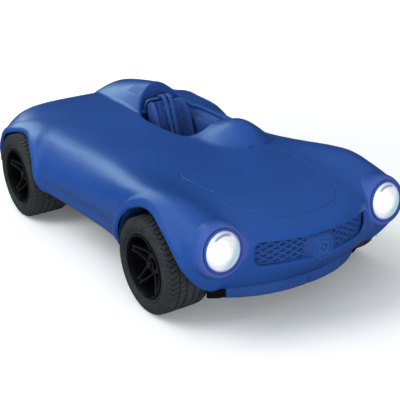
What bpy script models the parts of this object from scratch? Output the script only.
# Pull-back toy roadster: one moulded body over a chassis pan, lit head lamps, an off-centre
# cockpit with a headrest fairing, and a spring motor on the rear axle.
# Frame: +Z up, the nose points along -Y, the driver sits on the +X (left) side. The origin is on
# the ground, under the centre of the car's box. Sizes are in millimetres, and y is measured
# from mid-wheelbase; point() turns both into scene units.
import math
from dataclasses import dataclass

import bmesh
import bpy
import numpy as np
from mathutils import Vector

for old_object in list(bpy.data.objects):
    bpy.data.objects.remove(old_object, do_unlink=True)

MM = 0.001
BODY_Y = 0.5              # mid-wheelbase lies half a millimetre behind the centre of the box
HALF_WHEELBASE = 90.3
SIDES = ((1, "left"), (-1, "right"))
SHARP_ANGLE = math.radians(35)
WALL = 2.2                # body shell thickness
GAP = 0.3                 # clearance between neighbouring pieces
PAN_Z0, PAN_Z1 = 17.0, 19.5
AXLE_RADIUS = 2.0
BORE_RATIO = 0.6467       # tyre bore to tyre radius
COCKPIT_X = 33.0          # the driver's centreline
BODY_SCREWS = [(-36, -77), (36, -77), (-37, 114), (37, 114)]
HEAD_LAMP = (60.0, -143.3, 55.3)      # centre of the left lamp's rim
HEAD_LAMP_TILT = math.radians(9.3)
TAIL_LAMP = (48.0, 145.5, 52.0)       # base point of the left tail lamp
GRILLE_HALF_WIDTH, GRILLE_Z0, GRILLE_Z1 = 42.5, 40.0, 56.0


@dataclass
class WheelPair:
    """the two wheels of one axle, standing on the ground"""
    name: str
    y: float
    radius: float
    width: float
    outer_x: float        # outer face of the left tyre
    well_radius: float    # body faces wholly inside this radius are left out
    arch: list            # (angle, radius): 0 towards the nose, 90 up, 180 towards the tail

    @property
    def axle(self):
        """(y, z) of the axle"""
        return self.y, self.radius

    def centre(self, side):
        return (side * (self.outer_x - self.width / 2), *self.axle)


FRONT = WheelPair("front", y=-HALF_WHEELBASE, radius=30.0, width=30.5, outer_x=81.5,
                  well_radius=31.5, arch=[
    (-90, 36), (-30, 37.6), (-7, 39.2), (6, 42.9), (18, 44.7), (30, 42.9), (45, 39.3),
    (60, 37.4), (80, 36.9), (100, 36.2), (122, 35), (150, 33.2), (190, 33), (270, 36)])
REAR = WheelPair("rear", y=HALF_WHEELBASE, radius=31.5, width=31.0, outer_x=85.2,
                 well_radius=32.5, arch=[
    (-90, 40), (-20, 42), (3, 43.5), (14, 40.6), (25, 38.8), (35, 37.8), (48, 36.5),
    (61, 35.2), (78, 34.3), (104, 34.3), (130, 35.2), (160, 36.6), (200, 37), (270, 40)])


# ---------------------------------------------------------------- materials
def material(name, color, rough, metal=0.0, alpha=1.0, glow=0.0):
    mat = bpy.data.materials.new(name)
    mat.use_nodes = True
    inputs = mat.node_tree.nodes["Principled BSDF"].inputs
    inputs["Base Color"].default_value = (*color, 1)
    inputs["Roughness"].default_value = rough
    inputs["Metallic"].default_value = metal
    inputs["Alpha"].default_value = alpha
    if glow:
        inputs["Emission Color"].default_value = (*color, 1)
        inputs["Emission Strength"].default_value = glow
    mat.diffuse_color = (*color, alpha)
    return mat


BLUE = material("body_blue", color=(0.022, 0.080, 0.300), rough=0.42)
BLUE_IN = material("cockpit_blue", color=(0.016, 0.050, 0.190), rough=0.5)
BLACK = material("chassis_black", color=(0.020, 0.020, 0.022), rough=0.55)
RIM = material("rim_black", color=(0.012, 0.012, 0.013), rough=0.15)
RUBBER = material("tyre_rubber", color=(0.030, 0.034, 0.036), rough=0.75)
STEEL = material("steel", color=(0.60, 0.60, 0.62), rough=0.25, metal=1.0)
SPRING = material("spring_steel", color=(0.35, 0.35, 0.38), rough=0.3, metal=1.0)
CHROME = material("reflector_chrome", color=(0.85, 0.86, 0.88), rough=0.08, metal=1.0)
LENS = material("lens_clear", color=(0.93, 0.95, 1.0), rough=0.05, alpha=0.35)
LED = material("led_white", color=(1.0, 0.98, 0.95), rough=0.2, glow=4.0)
RED = material("tail_red", color=(0.45, 0.01, 0.012), rough=0.15)
GEAR = material("gear_acetal", color=(0.80, 0.79, 0.74), rough=0.4)
CASE = material("motor_case_grey", color=(0.30, 0.31, 0.33), rough=0.5)
BOARD = material("board_green", color=(0.020, 0.150, 0.060), rough=0.45)
CELL = material("cell_wrap", color=(0.12, 0.12, 0.13), rough=0.3)
BRASS = material("contact_plate", color=(0.62, 0.58, 0.48), rough=0.3, metal=1.0)
CABLE = material("cable_grey", color=(0.08, 0.08, 0.09), rough=0.5)


# ---------------------------------------------------------------- solids
def point(x, y, z):
    return Vector((x, y + BODY_Y, z)) * MM


def shade(mesh):
    mesh.shade_smooth()
    mesh.set_sharp_from_angle(angle=SHARP_ANGLE)


def add(name, verts, faces, mat, origin=None):
    """verts in mm; origin likewise, the point the piece turns about"""
    base = point(*origin) if origin else Vector((0, 0, 0))
    mesh = bpy.data.meshes.new(name)
    mesh.from_pydata([tuple(point(*v) - base) for v in verts], [], faces)
    bm = bmesh.new()
    bm.from_mesh(mesh)
    bmesh.ops.recalc_face_normals(bm, faces=bm.faces)
    bm.to_mesh(mesh)
    bm.free()
    shade(mesh)
    mesh.materials.append(mat)
    ob = bpy.data.objects.new(name, mesh)
    bpy.context.collection.objects.link(ob)
    ob.location = base
    return ob


def block(name, corners, mat, origin=None):
    """six-sided solid; corners run as the bits of 0 to 7, the last bit changing fastest"""
    faces = [(0, 1, 3, 2), (4, 6, 7, 5), (0, 4, 5, 1), (2, 3, 7, 6), (0, 2, 6, 4), (1, 5, 7, 3)]
    return add(name, corners, faces, mat, origin)


def box(name, x0, x1, y0, y1, z0, z1, mat, origin=None):
    corners = [(x, y, z) for x in (x0, x1) for y in (y0, y1) for z in (z0, z1)]
    return block(name, corners, mat, origin)


def ring_quads(first, second, count):
    """faces between two rings of count vertices, given by ring number"""
    a, b = first * count, second * count
    return [(a + k, a + (k + 1) % count, b + (k + 1) % count, b + k) for k in range(count)]


def prism(name, loop, axis, start, end, mat, origin=None):
    """loop of 2-D points extruded along 'x' (y, z), 'y' (x, z) or 'z' (x, y)"""
    place = {"x": lambda p, at: (at, p[0], p[1]),
             "y": lambda p, at: (p[0], at, p[1]),
             "z": lambda p, at: (p[0], p[1], at)}[axis]
    n = len(loop)
    verts = [place(p, start) for p in loop] + [place(p, end) for p in loop]
    faces = [tuple(range(n)), tuple(range(2 * n - 1, n - 1, -1))]
    return add(name, verts, faces + ring_quads(0, 1, n), mat, origin)


def sweep(name, sections, mat, origin=None):
    """solid through a list of sections with equal point counts, capped at both ends"""
    n, count = len(sections), len(sections[0])
    faces = [f for i in range(n - 1) for f in ring_quads(i, i + 1, count)]
    faces += [tuple(range(count)), tuple(range(n * count - 1, (n - 1) * count - 1, -1))]
    return add(name, [p for section in sections for p in section], faces, mat, origin)


def lathe(name, profile, centre, axis, segs, mat, closed=True, origin=None):
    """profile: (radius, height along the axis). closed joins last to first; else radius 0
    ends are poles"""
    along = Vector(axis).normalized()
    across = along.orthogonal().normalized() if abs(along.x) < 0.9 else Vector((0, 1, 0))
    third = along.cross(across).normalized()
    centre = Vector(centre)
    verts, rings = [], []
    for radius, height in profile:
        start = len(verts)
        if radius < 1e-6:
            rings.append([start] * segs)
            verts.append(tuple(centre + along * height))
            continue
        for k in range(segs):
            a = 2 * math.pi * k / segs
            verts.append(tuple(centre + along * height + across * (radius * math.cos(a))
                               + third * (radius * math.sin(a))))
        rings.append(list(range(start, start + segs)))
    pairs = list(zip(rings[:-1], rings[1:]))
    if closed:
        pairs.append((rings[-1], rings[0]))
    faces = []
    for low, high in pairs:
        for k in range(segs):
            after = (k + 1) % segs
            # a pole repeats its vertex, which turns the quad into a triangle
            face = tuple(dict.fromkeys((low[k], low[after], high[after], high[k])))
            if len(face) > 2:
                faces.append(face)
    return add(name, verts, faces, mat, origin)


def rod(name, radius, start, end, segs, mat, origin=None):
    start, end = Vector(start), Vector(end)
    length = (end - start).length
    profile = [(0, 0), (radius, 0), (radius, length), (0, length)]
    return lathe(name, profile, start, end - start, segs, mat, False, origin)


def x_rod(name, radius, x0, x1, centre, segs, mat, origin=None):
    """rod across the car; centre is (y, z)"""
    return rod(name, radius, (x0, *centre), (x1, *centre), segs, mat, origin)


def path_direction(path, i):
    return (path[min(i + 1, len(path) - 1)] - path[max(i - 1, 0)]).normalized()


def ribbon(name, path, width, thick, mat):
    """flat strap along a path, its width along x"""
    path = [Vector(p) for p in path]
    across = Vector((1, 0, 0))
    sections = []
    for i, p in enumerate(path):
        normal = across.cross(path_direction(path, i)).normalized()
        sections.append([tuple(p + across * (sx * width / 2) + normal * (sn * thick / 2))
                         for sx, sn in ((-1, -1), (1, -1), (1, 1), (-1, 1))])
    return sweep(name, sections, mat)


def tube(name, path, radius, mat, segs=8):
    """round cable along a path"""
    path = [Vector(p) for p in path]
    sections = []
    side = None
    for i, p in enumerate(path):
        ahead = path_direction(path, i)
        if side is None:
            side = ahead.orthogonal().normalized()
        else:
            side = (side - ahead * side.dot(ahead)).normalized()
        third = ahead.cross(side)
        angles = [2 * math.pi * k / segs for k in range(segs)]
        sections.append([tuple(p + side * (radius * math.cos(a)) + third * (radius * math.sin(a)))
                         for a in angles])
    return sweep(name, sections, mat)


# ---------------------------------------------------------------- booleans
def measure(mesh):
    """volume in cubic mm and the number of edges that don't join exactly two faces"""
    bm = bmesh.new()
    bm.from_mesh(mesh)
    volume = bm.calc_volume(signed=True) * 1e9
    open_edges = sum(not e.is_manifold for e in bm.edges)
    bm.free()
    return volume, open_edges


def boolean_mesh(ob, tool, operation):
    volume, tool_volume = measure(ob.data)[0], measure(tool.data)[0]
    if operation == 'DIFFERENCE':
        least, most = volume - tool_volume, volume
    else:
        least, most = max(volume, tool_volume), volume + tool_volume
    # EXACT first; MANIFOLD only if its result is open or has an impossible volume
    for solver in ('EXACT', 'MANIFOLD'):
        modifier = ob.modifiers.new("boolean", 'BOOLEAN')
        modifier.operation = operation
        modifier.solver = solver
        modifier.object = tool
        bpy.context.view_layer.update()
        evaluated = ob.evaluated_get(bpy.context.evaluated_depsgraph_get())
        mesh = bpy.data.meshes.new_from_object(evaluated)
        ob.modifiers.clear()
        new_volume, open_edges = measure(mesh)
        if open_edges == 0 and least - 1 <= new_volume <= most + 1:
            return mesh
        bpy.data.meshes.remove(mesh)
    raise RuntimeError("cannot combine %s with %s" % (ob.name, tool.name))


def combine(ob, tools, operation):
    """apply each tool to ob and drop it, then merge stray vertices"""
    for tool in tools:
        tool.hide_render = True
        old = ob.data
        ob.data = boolean_mesh(ob, tool, operation)
        bpy.data.meshes.remove(old)
        bpy.data.objects.remove(tool, do_unlink=True)
    bm = bmesh.new()
    bm.from_mesh(ob.data)
    bmesh.ops.remove_doubles(bm, verts=bm.verts, dist=2e-6)
    bmesh.ops.dissolve_degenerate(bm, edges=bm.edges, dist=2e-6)
    bm.to_mesh(ob.data)
    bm.free()
    shade(ob.data)


def join(ob, parts):
    combine(ob, parts, 'UNION')


def cut(ob, tools):
    combine(ob, tools, 'DIFFERENCE')


# ---------------------------------------------------------------- body surface
# Loft stations from nose to tail, as (x, y, z) points from the centreline outwards.
# First line: centre, inner deck, hood edge, valley. Second line: fender crest, fender shoulder,
# widest side point and, at the nose and tail, the three points of the tuck-under.
STATIONS = [
    # nose: lower edge, lower face, grille face, upper face
    [(0,-142,24), (16,-141.5,24), (32,-139,24), (44,-134,24),
     (52,-129,23.5), (56,-125.5,22.6), (58,-122.5,21.6), (59,-121,20.6), (59.5,-120,19.6),
     (60,-119.4,18.6)],
    [(0,-153,33), (18,-152,33), (36,-147,33), (49,-140,31),
     (62,-137,30), (70,-130,27), (69,-122,25), (67,-119,22.5), (64,-117.8,20), (60,-117,18)],
    [(0,-159.5,48), (18,-158.5,48), (37,-152.5,48), (47,-143.5,49),
     (63,-148,52), (82,-140,47), (76,-119,31), (72,-116,25), (66,-114.5,20.5), (60,-114,18)],
    [(0,-157,60), (18,-156,60), (36,-150,60.5), (47,-139.5,61),
     (63.5,-147,69.5), (80.5,-139,59.5), (84,-113,39), (77,-112,26), (66,-111,20),
     (60,-110.5,18)],
    # hood and front fender
    [(0,-141,65), (18,-140,65), (35,-135,65.5), (48,-128,66),
     (63,-124,73.5), (78,-118,66.8), (85,-106,50)],
    [(0,-112,69.5), (18,-112,69.5), (35,-110,69.5), (50,-106,70),
     (64,-102,78), (78,-98,71.4), (86,-94,50)],
    [(0,-78,71), (18,-78,71), (35,-77,71), (50,-75,71.5),
     (64,-73,74), (77.5,-70,67.6), (84,-68,45)],
    # waist beside the cockpit
    [(0,-42,70.5), (18,-42,70.5), (36,-41,70.5), (50,-40,70),
     (63.5,-40,69.2), (79,-40,57.5), (78,-42,40)],
    [(0,-5,69), (18,-5,69), (36,-5,69), (50,-5,68.5),
     (63,-5,65.5), (81,-5,53), (78,-5,36)],
    [(0,34,68.5), (18,34,68.5), (36,34,68.5), (51,34,68),
     (66,34,66), (85,34,53), (82,30,36)],
    # rear fender
    [(0,70,69.5), (18,70,69.5), (36,70,69.5), (52,72,69),
     (68,74,68), (83,72,57), (92,66,45)],
    [(0,104,70.5), (18,104,70.5), (36,104,70.5), (53,106,70.5),
     (67,108,69.5), (81.5,107,61), (91.5,104,46)],
    [(0,132,70), (18,132,70), (36,131,70), (52,130,70),
     (65,128,68), (79,125,58), (86,119,42), (81,116,28), (66,114.5,20), (60,114,18)],
    # tail: upper edge, face, lower face, lower edge
    [(0,152,67.5), (18,152,67.5), (36,150,67.5), (52,146,66),
     (65,141,60), (77,134,50), (83,127,37), (77,121,26), (66,119,20.3), (60,118.5,18)],
    [(0,158,51), (18,158,51), (36,156,51), (53,151,50),
     (67,145,45), (77,137.5,39), (78,129,30), (73,124,24.5), (66,122,20.6), (60,121.5,18)],
    [(0,152,32), (18,152,32), (36,150,32), (52,146,31),
     (64,141,30), (70,135,27), (69.5,129.5,24), (67,126.5,22), (64,125,20), (60,124.4,18)],
    [(0,147,24), (18,147,24), (36,145,24), (50,142,24),
     (58,138,23), (62,133.5,22), (62.5,130.5,20.8), (62,128.7,19.8), (61.2,127.6,19),
     (60,127,18.4)],
]
SILL_X, SILL_Z = 60.0, 18.0
OPENING_POINTS = 36


def smooth(t):
    t = np.clip(t, 0, 1)
    return t * t * (3 - 2 * t)


def control_net():
    """add the missing tuck-unders, down to the sill, and mirror the net about x = 0"""
    rows = []
    for row in STATIONS:
        tuck = []
        if len(row) == 7:
            x, y, z = row[6]
            lift = 2.5 if y > 20 else 0
            tuck = [(x - 5, y, max(z - 13, 28) + lift),
                    (SILL_X + 7, y, SILL_Z + 6.5 + lift),
                    (SILL_X, y, SILL_Z + 3 + lift)]
        rows.append(row + tuck)
    left = np.array(rows, float)
    right = left[:, ::-1].copy()
    right[:, :, 0] *= -1
    return np.concatenate([right[:, :-1], left], 1)


def bspline(t, n, degree=3):
    """clamped uniform B-spline basis, one row for each of n control points"""
    knots = np.concatenate([np.zeros(degree), np.linspace(0, 1, n - degree + 1), np.ones(degree)])
    t = np.clip(np.asarray(t, float), 0, 1 - 1e-9)
    basis = np.array([(t >= a) & (t < b) for a, b in zip(knots[:-1], knots[1:])], float)
    for d in range(1, degree + 1):
        raised = np.zeros((len(knots) - 1 - d, len(t)))
        for i in range(len(raised)):
            rise, fall = knots[i + d] - knots[i], knots[i + d + 1] - knots[i + 1]
            if rise > 0:
                raised[i] += (t - knots[i]) / rise * basis[i]
            if fall > 0:
                raised[i] += (knots[i + d + 1] - t) / fall * basis[i + 1]
        basis = raised
    return basis


def headrest(x, y):
    """height of the fairing behind the driver, tallest at the cockpit, fading at the tail"""
    half_width = 25.0 - 3.5 * smooth((y - 90) / 60)
    back = y - 76
    tail_fade = 1 - np.clip((y - 128) / 38, 0, 1) ** 3
    height = (18.0 - 0.185 * back + 0.0004 * back ** 2) * tail_fade
    height = np.clip(height, 0, 18.2) * smooth((y - 30) / 38)
    t = np.clip(1 - np.abs(x - COCKPIT_X) / half_width, 0, 1)
    # a blend of a bell and a parabola across the fairing, fuller towards the tail
    section = 0.45 * smooth(t) + 0.55 * t * (2 - t)
    return height * section ** (1 - 0.3 * smooth((y - 85) / 55))


def cowl(x, y):
    """height of the wind deflector ahead of the driver"""
    forward = np.clip((-14 - y) / 37.5, 0, 1)
    half_width = np.maximum(25.5 * np.maximum(1 - forward ** 2, 0) ** 0.36, 1e-3)
    height = 13.8 * np.maximum(1 - np.clip((-29 - y) / 22.5, 0, 1) ** 2, 0) ** 0.7
    height = height * (1 - 0.3 * smooth((y + 29) / 22)) * (1 - smooth((y - 2) / 24))
    t = np.clip(1 - np.abs(x - COCKPIT_X) / half_width, 0, 1)
    fullness = 0.25 + 0.25 * smooth((-20 - y) / 20)
    return height * ((1 - fullness) * smooth(t) + fullness * t * (2 - t))


def surface(us, vs):
    """us: -1 (right sill) to 1 (left sill); vs: 0 (nose) to 1 (tail)"""
    net = control_net()
    basis_u = bspline((np.asarray(us) + 1) / 2, net.shape[1])
    basis_v = bspline(vs, net.shape[0])
    points = np.einsum('iv,ijk,ju->vuk', basis_v, net, basis_u)
    x, y, z = points[..., 0], points[..., 1], points[..., 2]
    points[..., 2] += np.where(z > 58, headrest(x, y) + cowl(x, y), 0)
    return points


FINE = surface(np.linspace(-1, 1, 181), np.linspace(0, 1, 221)).reshape(-1, 3)
TOPS = FINE[FINE[:, 2] > 56]


def deck_z(x, y):
    """height of the outer surface above a plan point, from its four nearest samples"""
    distance = (TOPS[:, 0] - x) ** 2 + (TOPS[:, 1] - y) ** 2
    nearest = np.argsort(distance)[:4]
    weight = 1 / (distance[nearest] + 1e-3)
    return float((TOPS[nearest, 2] * weight).sum() / weight.sum())


# ---------------------------------------------------------------- body
def opening(grow=0.0):
    """plan outline of the cockpit opening: straight across the front, rounded behind the seat"""
    points = []
    for k in range(OPENING_POINTS):
        a = 2 * math.pi * (k + 0.5) / OPENING_POINTS
        c, s = math.cos(a), math.sin(a)
        power_x, power_y, length = (0.42, 0.55, 42.0) if s < 0 else (0.70, 0.80, 47.5)
        points.append((COCKPIT_X + (28.3 + grow) * math.copysign(abs(c) ** power_x, c),
                       34 + (length + grow) * math.copysign(abs(s) ** power_y, s)))
    return points


def arch_loop(wheels, max_radius=99.0):
    """(y, z) outline of a wheel opening; max_radius holds from 6 mm above the axle up"""
    points = []
    for k in range(44):
        degrees = -90 + 360 * (k + 0.5) / 44
        a = math.radians(degrees)
        radius = float(np.interp(degrees, *zip(*wheels.arch)))
        if radius * math.sin(a) > 6:
            radius = min(radius, max_radius)
        points.append((wheels.y - radius * math.cos(a), wheels.radius + radius * math.sin(a)))
    return points


def rounded_slot(half_width, z0, z1, radius):
    steps = 4
    right, top, bottom = half_width - radius, z1 - radius, z0 + radius
    points = []
    for x, z, start in ((right, top, 0), (-right, top, 90), (-right, bottom, 180),
                        (right, bottom, 270)):
        for k in range(steps + 1):
            a = math.radians(start + 90 * k / steps)
            points.append((x + radius * math.cos(a), z + radius * math.sin(a)))
    return points


def lamp_frame(side):
    """centre of the head lamp's rim and its outward axis"""
    x, y, z = HEAD_LAMP
    outward = Vector((0, -math.cos(HEAD_LAMP_TILT), math.sin(HEAD_LAMP_TILT)))
    return Vector((side * x, y, z)), outward


def body_skin():
    """the lofted shell, left open inside the wheel wells"""
    nu, nv = 31, 35
    # closer stations at the nose and tail, where the shape turns
    t = np.linspace(0, 1, nv)
    vs = t - 0.055 * np.sin(2 * np.pi * t)
    us = np.linspace(-1, 1, nu)
    step = 1e-3
    outer = surface(us, vs)
    du = surface(np.clip(us + step, -1, 1), vs) - surface(np.clip(us - step, -1, 1), vs)
    dv = surface(us, np.clip(vs + step, 0, 1)) - surface(us, np.clip(vs - step, 0, 1))
    normal = np.cross(du, dv)
    normal /= np.maximum(np.linalg.norm(normal, axis=-1, keepdims=True), 1e-9)
    inner = (outer - WALL * normal).reshape(-1, 3)
    outer = outer.reshape(-1, 3)
    verts = [tuple(p) for p in outer] + [tuple(p) for p in inner]
    count = nu * nv
    in_well = np.zeros(count, bool)
    for wheels in (FRONT, REAR):
        from_axle = np.hypot(outer[:, 1] - wheels.y, outer[:, 2] - wheels.radius)
        in_well |= (np.abs(outer[:, 0]) > 51) & (from_axle < wheels.well_radius)
    quads = []
    for i in range(nv - 1):
        for j in range(nu - 1):
            k = i * nu + j
            quad = (k, k + 1, k + nu + 1, k + nu)
            if not all(in_well[corner] for corner in quad):
                quads.append(quad)
    edges = {(a, b) for quad in quads for a, b in zip(quad, quad[1:] + quad[:1])}
    faces = quads + [tuple(count + k for k in quad[::-1]) for quad in quads]
    # close the shell along every open edge
    faces += [(b, a, count + a, count + b) for a, b in sorted(edges) if (b, a) not in edges]
    used = sorted({k for face in faces for k in face})
    new_index = {k: i for i, k in enumerate(used)}
    faces = [tuple(new_index[k] for k in face) for face in faces]
    return add("body_shell", [verts[k] for k in used], faces, BLUE)


def screw_post(x, y):
    z0, z1 = PAN_Z1 + GAP, deck_z(x, y) - 1.3
    profile = [(0, 33), (1.6, 32), (1.6, z0), (4.0, z0), (4.0, z1), (0, z1)]
    return lathe("post", profile, (x, y, 0), (0, 0, 1), 12, BLUE, False)


def make_body():
    body = body_skin()
    join(body, [screw_post(x, y) for x, y in BODY_SCREWS])
    tools = []
    tail_x, _, tail_z = TAIL_LAMP
    for side, _ in SIDES[::-1]:
        # the front opening is trimmed further in, to leave room for the lamp
        for loop, inner_x in ((arch_loop(FRONT, 37.4), 49.5), (arch_loop(FRONT), 73.4),
                              (arch_loop(REAR), 49.5)):
            tools.append(prism("arch", loop, "x", side * inner_x, side * 110, BLUE))
        centre, outward = lamp_frame(side)
        tools.append(rod("lamp_hole", 13.0, centre - outward * 9, centre + outward * 25, 28, BLUE))
        tools.append(rod("tail_hole", 6.4, (side * tail_x, 138, tail_z),
                         (side * tail_x, 170, tail_z), 20, BLUE))
    tools.append(prism("cockpit_hole", opening(), "z", 52, 100, BLUE))
    slot = rounded_slot(GRILLE_HALF_WIDTH, GRILLE_Z0, GRILLE_Z1, radius=5.0)
    tools.append(prism("grille_hole", slot, "y", -175, -146, BLUE))
    cut(body, tools)


make_body()


# ---------------------------------------------------------------- nose and lamps
def make_grille():
    """plate behind the nose face, curved in plan"""
    thick, z0, z1 = 1.6, GRILLE_Z0 + 1.2, GRILLE_Z1 - 1.2
    sections = []
    for x in np.linspace(-41.2, 41.2, 19):
        y = -153.6 + 12.4 * (x / 44.0) ** 2
        sections.append([(x, y, z0), (x, y, z1), (x, y + thick, z1), (x, y + thick, z0)])
    sweep("grille_insert", sections, BLUE)


def make_badge():
    profile = [(0, 0), (7.1, 0), (7.1, 1.5), (6.0, 2.2), (5.2, 1.5), (0, 1.5)]
    badge = lathe("front_badge", profile, (0, -153.9, 47.2), (0, -1, 0), 24, BLUE, False)
    for vert in badge.data.vertices:      # an upright oval
        vert.co.x *= 0.8


def make_front_lip():
    half_width = 48
    loop = [(x, -142.2 + 13.4 * (abs(x) / half_width) ** 2.4)
            for x in np.linspace(-half_width, half_width, 21)]
    prism("front_lip", loop + [(46.5, -117.2), (-46.5, -117.2)], "z", 15.8, 22.9, BLUE)


def make_head_lamp(side, side_name):
    # part, segments, material, closed profile or not, (radius, height outwards from the rim)
    parts = [
        ("bezel", 28, BLUE, True,
         [(11.55, -6.0), (12.7, -6.0), (12.7, 0.9), (12.1, 1.5), (11.55, 0.9)]),
        ("lens", 28, LENS, False,
         [(0, -1.0), (11.2, -1.0), (11.2, 0.0), (9.4, 1.5), (6.2, 2.6), (3.0, 3.1), (0, 3.25)]),
        ("reflector", 20, CHROME, True,
         [(10.2, -1.4), (11.0, -1.4), (10.2, -5.0), (7.4, -9.6), (3.0, -11.6),
          (3.0, -10.6), (6.8, -8.6), (9.4, -4.8)]),
        ("led", 16, LED, False,
         [(0, -16.5), (2.5, -16.5), (2.5, -9.6), (1.8, -7.9), (0, -7.2)]),
    ]
    centre, outward = lamp_frame(side)
    for part, segs, mat, closed, profile in parts:
        name = "headlight_%s_%s" % (part, side_name)
        lathe(name, profile, centre, outward, segs, mat, closed)


def make_tail_lamp(side, side_name):
    x, y, z = TAIL_LAMP
    lathe("tail_lamp_" + side_name, [(0, -9), (6.0, -9), (6.0, 3.6), (4.4, 5.2), (0, 5.9)],
          (side * x, y, z), (0, 1, 0), 18, RED, False)


make_grille()
make_badge()
make_front_lip()
for side, side_name in SIDES:
    make_head_lamp(side, side_name)
    make_tail_lamp(side, side_name)


# ---------------------------------------------------------------- cockpit
SEAT_X = 32.0
# side profiles as (y, z)
SEAT_SIDE = [(19, 27), (59, 27), (73, 73), (70, 76.5), (65, 74), (52, 38), (45, 34), (19, 36)]
BOLSTER_SIDE = [(19, 27.5), (58.5, 27.5), (71.5, 70), (64.5, 72), (53, 46), (45, 42), (19, 42)]
HOLLOW_SIDE = [(15, 34.4), (19, 36.2), (45, 34.3), (52, 38.4), (65.3, 74.2), (55, 90), (15, 90)]
DASH_SIDE = [(-2.8, 40), (5.5, 44), (7.5, 52), (4.5, 60), (-1.5, 62)]


def make_tub():
    """open-topped tub under the opening, cut short on its outer side to clear the rear wheel"""
    def lower(outline, scale, max_x, z):
        centre_y = 36.0
        return [(min(COCKPIT_X + (x - COCKPIT_X) * scale, max_x),
                 centre_y + (y - centre_y) * scale, z) for x, y in outline]

    n = OPENING_POINTS
    outer, inner = opening(1.8), opening(0.4)
    tops = [deck_z(*p) - 4.6 for p in outer]
    rings = [[(*p, z) for p, z in zip(outer, tops)],
             lower(outer, 1.0, 51.6, 59.0),
             lower(outer, 0.93, 51.6, 24.0),
             lower(inner, 0.93, 50.2, 25.6),
             lower(inner, 1.0, 50.2, 60.6),
             [(*p, z) for p, z in zip(inner, tops)]]
    # rings 2 and 3 are the two faces of the floor
    faces = [f for a in (0, 1, 3, 4, 5) for f in ring_quads(a, (a + 1) % 6, n)]
    faces += [tuple(range(2 * n, 3 * n)), tuple(range(4 * n - 1, 3 * n - 1, -1))]
    add("cockpit_tub", [p for ring in rings for p in ring], faces, BLUE_IN)


def make_seat():
    """bucket seat: cushion and back from one side profile, with raised sides"""
    def part(name, loop, half_width):
        return prism(name, loop, "x", SEAT_X - half_width, SEAT_X + half_width, BLUE_IN)

    seat = part("driver_seat", SEAT_SIDE, 15.0)
    bolsters = part("bolsters", BOLSTER_SIDE, 16.8)
    cut(bolsters, [part("hollow", HOLLOW_SIDE, 13.5)])
    join(seat, [bolsters])


def make_harness():
    def strap(name, side):
        top, buckle, end = (COCKPIT_X + side * offset for offset in (6.5, 2.5, 6.0))
        path = [(top, 69.2, 79.0), (top, 63.6, 77.2), (top, 61.3, 72.0),
                (buckle, 51.4, 45.5), (buckle, 48.4, 40.8), (buckle, 43.5, 38.3),
                (end, 33.0, 38.6), (end, 21.5, 39.4)]
        return ribbon(name, path, 4.0, 1.2, CABLE)

    harness = strap("seat_harness", -1)
    other = strap("left_strap", 1)
    buckle = box("buckle", COCKPIT_X - 4.6, COCKPIT_X + 4.6, 45.8, 51.6, 40.4, 44.2, CABLE)
    join(harness, [buckle, other])
    x_rod("harness_bar", 1.5, COCKPIT_X - 12.5, COCKPIT_X + 12.5, (76.2, 74.5), 12, STEEL)


def make_steering_wheel():
    forward = Vector((0, -0.90, 0.44)).normalized()
    centre = Vector((COCKPIT_X, 19.0, 50.0))
    wheel = lathe("steering_wheel", [(9.4, 0), (10.3, 0.9), (11.2, 0), (10.3, -0.9)],
                  centre, -forward, 24, BLACK)
    parts = [lathe("hub", [(0, -1.0), (3.0, -1.0), (3.0, 0.9), (0, 0.9)],
                   centre, -forward, 12, BLACK, False),
             rod("column", 1.4, centre + forward * 0.5, centre + forward * 11.6, 10, BLACK)]
    across = Vector((1, 0, 0))
    third = forward.cross(across).normalized()
    for degrees in (0, 180, 270):
        a = math.radians(degrees)
        spoke = across * math.cos(a) + third * math.sin(a)
        parts.append(rod("spoke", 0.8, centre + spoke * 1.5, centre + spoke * 10.2, 8, BLACK))
    join(wheel, parts)


make_tub()
make_seat()
make_harness()
prism("dashboard", DASH_SIDE, "x", 14.0, 49.2, BLUE_IN)
make_steering_wheel()

# ---------------------------------------------------------------- chassis
# left half of the pan's plan outline, nose to tail
PAN_HALF = [(44, -116.5), (47, -116.0), (47, -50.5), (57, -49.0), (57, 50.0), (45.5, 51.0),
            (45.5, 128.0), (50, 134.0), (50, 138.0)]
# walls standing on the pan: x0, x1, y0, y1, top
PAN_WALLS = [
    (-45.6, -15.4, -66.5, -60.0, 30),     # battery bay: front, rear, right, left
    (-45.6, -15.4, -2.4, -0.9, 30),
    (-45.6, -44.4, -61, -2, 28),
    (-17.2, -16.0, -61, -2, 28),
    (-48, 48, 134.5, 137, 32),            # rear panel
]
BAY_X0, BAY_X1, BAY_Y0, BAY_Y1 = -44.4, -17.2, -60.0, -2.4
PLUG_GAP = 0.4
COVER_SCREW = (-30.8, -63.3)
SWITCH_SLOT = (-32.4, -27.6, 14.6, 27.4)  # x0, x1, y0, y1
CELL_LENGTH = 44.5


def wheel_wall(side, wheels, top):
    y = wheels.y
    # the cockpit tub takes the room ahead of the left rear wall
    ahead = 0.2 if side > 0 and wheels is REAR else 1.0
    loop = [(y - 25 * ahead, PAN_Z1 - 1), (y + 25, PAN_Z1 - 1), (y + 30, 40), (y + 20, top),
            (y - 20 * ahead, top), (y - 30 * ahead, 40)]
    x0, x1 = sorted((side * 43.8, side * 46.6))
    return prism("wall", loop, "x", x0, x1, BLACK)


def cover_screw_hole(top):
    return rod("hole", 1.5, (*COVER_SCREW, 10), (*COVER_SCREW, top), 12, BLACK)


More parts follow.
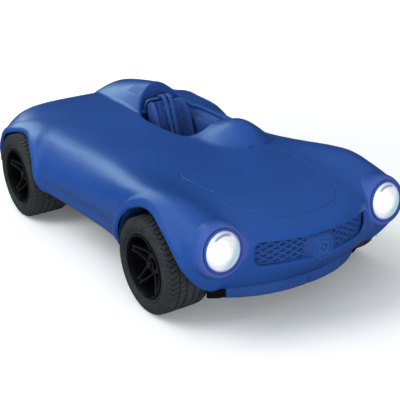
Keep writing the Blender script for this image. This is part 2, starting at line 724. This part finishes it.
def make_pan():
    loop = PAN_HALF + [(-x, y) for x, y in PAN_HALF[::-1]]
    pan = prism("chassis_pan", loop, "z", PAN_Z0, PAN_Z1, BLACK)
    parts = [wheel_wall(side, wheels, top)
             for side in (-1, 1) for wheels, top in ((FRONT, 58), (REAR, 60))]
    parts += [box("wall", *plan, PAN_Z1 - 1, top, BLACK) for *plan, top in PAN_WALLS]
    parts.append(box("underside_pad", -11, 11, -30, 0, 14.6, PAN_Z0 + 1, BLACK))
    join(pan, parts)
    tools = [rod("hole", 1.7, (x, y, 10), (x, y, 25), 12, BLACK) for x, y in BODY_SCREWS]
    tools += [x_rod("hole", 4.0, side * 40, side * 50, wheels.axle, 20, BLACK)
              for side in (-1, 1) for wheels in (FRONT, REAR)]
    tools.append(box("bay", BAY_X0, BAY_X1, BAY_Y0, BAY_Y1, 10, PAN_Z1 + 1, BLACK))
    tools.append(cover_screw_hole(27))
    tools.append(box("slot", *SWITCH_SLOT, 10, 25, BLACK))
    cut(pan, tools)


def make_screws():
    profile = [(0, 14.9), (2.8, 14.9), (3.0, 15.4), (3.0, 16.7), (1.3, 16.7), (1.3, 30.0),
               (0, 31.0)]
    for i, (x, y) in enumerate(BODY_SCREWS):
        lathe("body_screw_%d" % (i + 1), profile, (x, y, 0), (0, 0, 1), 12, STEEL, False)
    profile = [(0, 13.3), (2.5, 13.3), (2.7, 13.7), (2.7, 15.1), (1.2, 15.1), (1.2, 25.0),
               (0, 26.0)]
    lathe("battery_cover_screw", profile, (*COVER_SCREW, 0), (0, 0, 1), 12, STEEL, False)


def make_battery_cover():
    cover = box("battery_cover", -46.0, -15.0, -67.0, -1.0, 15.4, 16.7, BLACK,
                origin=(-30.5, -34, 16))
    join(cover, [box("plug", BAY_X0 + PLUG_GAP, BAY_X1 - PLUG_GAP, BAY_Y0 + PLUG_GAP,
                     BAY_Y1 - PLUG_GAP, 16.2, 18.8, BLACK)])
    cut(cover, [cover_screw_hole(20)])


def make_batteries():
    """two cells side by side, pointing opposite ways, between contact plates"""
    profile = [(0, 0), (4.9, 0), (5.25, 0.4), (5.25, 43.0), (4.8, 43.6), (1.9, 43.6),
               (1.9, CELL_LENGTH), (0, CELL_LENGTH)]
    for number, x, way in ((1, -36.9, 1), (2, -25.0, -1)):
        start = (x, -31.2 - way * CELL_LENGTH / 2, 26.0)
        lathe("battery_%d" % number, profile, start, (0, way, 0), 20, CELL, False)
    for place, y0, y1 in (("front", -54.6, -54.0), ("rear", -8.0, -7.4)):
        box("battery_contact_" + place, -42.5, -18.8, y0, y1, 20.6, 27.6, BRASS)


def make_switch():
    housing = box("switch_housing", -36, -24, 10, 32, PAN_Z1 + GAP, 26.6, BLACK)
    cut(housing, [box("slot", *SWITCH_SLOT, 15, 24.6, BLACK)])
    slider = box("power_switch", -32.1, -27.9, 15.0, 21.0, 15.6, 24.2, RUBBER,
                 origin=(-30, 18, 18))
    cut(slider, [box("groove", -33, -27, 17.4, 18.6, 15.0, 16.2, RUBBER)])


def make_board():
    board = box("circuit_board", -43, -6, 3, 40, 27.0, 28.6, BOARD)
    join(board, [box("chip", -22, -12, 16, 26, 28.2, 30.4, BOARD),
                 box("jack", -30, -22, 4, 9, 28.2, 33.0, BOARD)])


def make_wiring():
    """cable from the board to the nose, branching to both head lamps"""
    def branch(side):
        centre, outward = lamp_frame(side)
        return [(0, -118, 44), (side * 6, -124, 46.5), (side * 30, -126, 49),
                (side * 46, -125, 50), tuple(centre - outward * 19.2)]

    trunk = [(-26, 3.4, 31.0), (-24, -8, 36), (-12, -40, 37), (-3, -86, 41)]
    loom = tube("wiring_loom", trunk + branch(1), 1.1, CABLE)
    join(loom, [tube("right_branch", branch(-1), 1.05, CABLE)])


make_pan()
make_screws()
make_battery_cover()
make_batteries()
make_switch()
make_board()
make_wiring()


# ---------------------------------------------------------------- wheels
def make_tyre(wheels, side, side_name):
    radius, half = wheels.radius, wheels.width / 2
    # one side from the bore out to the tread, as (radius, distance from the middle)
    wall = [(radius * BORE_RATIO, half - 2.0), (radius * 0.69, half - 0.9), (radius * 0.82, half),
            (radius * 0.945, half - 0.8), (radius, half - 3.2)]
    profile = [(r, -h) for r, h in wall] + wall[::-1]
    centre = wheels.centre(side)
    lathe("tyre_%s_%s" % (wheels.name, side_name), profile, centre, (side, 0, 0), 24, RUBBER,
          True, centre)


def make_left_rim(wheels):
    """barrel and hub joined by five double spokes"""
    barrel = wheels.radius * BORE_RATIO - GAP
    half = wheels.width / 2 - 2.0
    centre = wheels.centre(1)
    profile = [(2.3, -5), (5.0, -5), (5.0, -1.6), (barrel - 1.8, -1.6), (barrel - 1.8, -half),
               (barrel, -half), (barrel, half + 0.2), (barrel + 0.7, half + 0.4),
               (barrel + 0.7, half + 1.2), (barrel - 1.0, half + 1.2),
               (barrel - 1.9, half - 1.4), (barrel - 2.4, 0.2), (6.0, 0.2), (5.0, 7.6),
               (2.3, 7.6)]
    rim = lathe("rim_%s_left" % wheels.name, profile, centre, (1, 0, 0), 24, RIM, True, centre)

    def radial(degrees, radius):
        a = math.radians(degrees)
        return Vector((0, math.cos(a) * radius, math.sin(a) * radius))

    ribs = []
    for k in range(5):
        for way in (-1, 1):
            # a spoke's two ribs spread at the hub and draw together near the barrel
            inner = radial(90 + 72 * k + 27 * way, 4.2)
            outer = radial(90 + 72 * k + 5 * way, barrel - 1.4)
            along = (outer - inner).normalized()
            half_width = Vector((0, -along.z, along.y)) * 0.85
            corners = [tuple(Vector(centre) + end + half_width * edge + Vector((x, 0, 0)))
                       for end, xs in ((inner, (2.6, 6.6)), (outer, (4.6, 8.4)))
                       for edge in (-1, 1) for x in xs]
            ribs.append(block("rib", corners, RIM))
    join(rim, ribs)
    return rim


def make_right_rim(wheels, left_rim):
    """the left rim's mesh, turned to face the other way"""
    rim = bpy.data.objects.new("rim_%s_right" % wheels.name, left_rim.data)
    bpy.context.collection.objects.link(rim)
    rim.location = point(*wheels.centre(-1))
    rim.rotation_euler = (0, 0, math.pi)


def make_hub_parts(wheels, side, side_name):
    tag = "%s_%s" % (wheels.name, side_name)
    centre = wheels.centre(side)
    lathe("hub_nut_" + tag, [(0, 7.9), (4.2, 7.9), (4.2, 8.8), (2.6, 10.6), (0, 11.2)],
          centre, (side, 0, 0), 6, STEEL, False, centre)
    lathe("axle_bush_" + tag,
          [(2.3, -4.6), (3.7, -4.6), (3.7, 0.2), (5.4, 0.2), (5.4, 1.4), (2.3, 1.4)],
          (side * 46.8, *wheels.axle), (side, 0, 0), 16, GEAR)


def make_axle(wheels):
    half_length = wheels.centre(1)[0] + 4.6
    x_rod(wheels.name + "_axle", AXLE_RADIUS, -half_length, half_length, wheels.axle, 16, STEEL,
          (0, *wheels.axle))


for wheels in (FRONT, REAR):
    for side, side_name in SIDES:
        make_tyre(wheels, side, side_name)
        make_hub_parts(wheels, side, side_name)
    make_right_rim(wheels, make_left_rim(wheels))
    make_axle(wheels)

# ---------------------------------------------------------------- spring motor
MODULE, PINION_TEETH, WHEEL_TEETH = 0.9, 10, 26
CENTRE_DISTANCE = MODULE * (PINION_TEETH + WHEEL_TEETH) / 2 + 0.15


def mesh_centre(start, lean):
    """(y, z) one gear distance towards the nose from start, lean above the horizontal"""
    return (start[0] - CENTRE_DISTANCE * math.cos(lean),
            start[1] + CENTRE_DISTANCE * math.sin(lean))


def bearing(start, end):
    return math.atan2(end[1] - start[1], end[0] - start[0])


IDLER = mesh_centre(REAR.axle, math.radians(22))
BARREL = mesh_centre(IDLER, math.radians(-14))
TO_IDLER = bearing(REAR.axle, IDLER)
TO_BARREL = bearing(IDLER, BARREL)
# turns a large gear so that a space faces the pinion's tooth
FACING_SPACE = math.pi + math.pi / WHEEL_TEETH


def spur_gear(name, teeth, x0, x1, centre, first_tooth):
    """solid gear; first_tooth is the direction of one tooth in the y-z plane"""
    pitch_radius = MODULE * teeth / 2
    tip, root = pitch_radius + 0.80 * MODULE, pitch_radius - 1.10 * MODULE
    pitch = 2 * math.pi / teeth
    loop = []
    for k in range(teeth):
        middle = first_tooth + k * pitch
        for radius, offset in ((root, -0.27), (tip, -0.11), (tip, 0.11), (root, 0.27)):
            a = middle + offset * pitch
            loop.append((centre[0] + radius * math.cos(a), centre[1] + radius * math.sin(a)))
    return prism(name, loop, "x", x0, x1, GEAR, (0, *centre))


def make_pinion():
    pinion = spur_gear("axle_pinion", PINION_TEETH, -20.4, -14.6, REAR.axle, TO_IDLER)
    cut(pinion, [x_rod("bore", AXLE_RADIUS + GAP, -30, -5, REAR.axle, 16, GEAR)])


def make_idler():
    idler = spur_gear("idler_gear", WHEEL_TEETH, -20.0, -15.0, IDLER, TO_IDLER + FACING_SPACE)
    join(idler, [spur_gear("small_gear", PINION_TEETH, -15.6, -8.4, IDLER, TO_BARREL)])
    cut(idler, [x_rod("bore", 1.8, -30, 0, IDLER, 16, GEAR)])
    x_rod("idler_shaft", 1.5, -25.8, -0.8, IDLER, 14, STEEL)


def make_barrel():
    """gear with an open drum that holds the mainspring"""
    barrel = spur_gear("spring_barrel", WHEEL_TEETH, -13.2, -9.0, BARREL,
                       TO_BARREL + FACING_SPACE)
    join(barrel, [x_rod("drum", 10.5, -9.6, -2.4, BARREL, 20, GEAR)])
    cut(barrel, [x_rod("hollow", 9.7, -8.2, 0, BARREL, 20, GEAR),
                 x_rod("bore", 2.3, -30, 0, BARREL, 16, GEAR)])


def make_mainspring():
    turns, steps = 3.75, 12
    inner, outer, half_thick = 3.2, 9.2, 0.22
    x0, x1 = -7.7, -3.0
    n = int(turns * steps) + 1
    sections = []
    for i in range(n):
        a = 2 * math.pi * i / steps
        r = inner + (outer - inner) * i / (n - 1)
        low, high = r - half_thick, r + half_thick
        sections.append([(x, BARREL[0] + radius * math.cos(a), BARREL[1] + radius * math.sin(a))
                         for x, radius in ((x0, low), (x0, high), (x1, high), (x1, low))])
    sweep("mainspring", sections, SPRING, (0, *BARREL))


def make_cases():
    """two half boxes that open towards each other; the left one carries the barrel's arbor"""
    wall = 1.4
    y0, y1, z0, z1 = 43.5, 101.0, PAN_Z1 + GAP, 54.0
    for side_name, x0, x1 in (("right", -27.5, -12.3), ("left", -12.0, 0.9)):
        left = side_name == "left"
        case = box("motor_case_" + side_name, x0, x1, y0, y1, z0, z1, CASE)
        hollow_x = (x0 - 5, x1 - wall) if left else (x0 + wall, x1 + 5)
        cut(case, [box("hollow", *hollow_x, y0 + wall, y1 - wall, z0 + wall, z1 - wall, CASE)])
        if left:
            join(case, [x_rod("arbor", 2.0, x1 - wall / 2, -14.2, BARREL, 16, CASE)])
        cut(case, [x_rod("axle_hole", AXLE_RADIUS + 0.6, -40, 10, REAR.axle, 16, CASE)])


make_pinion()
make_idler()
make_barrel()
make_mainspring()
make_cases()
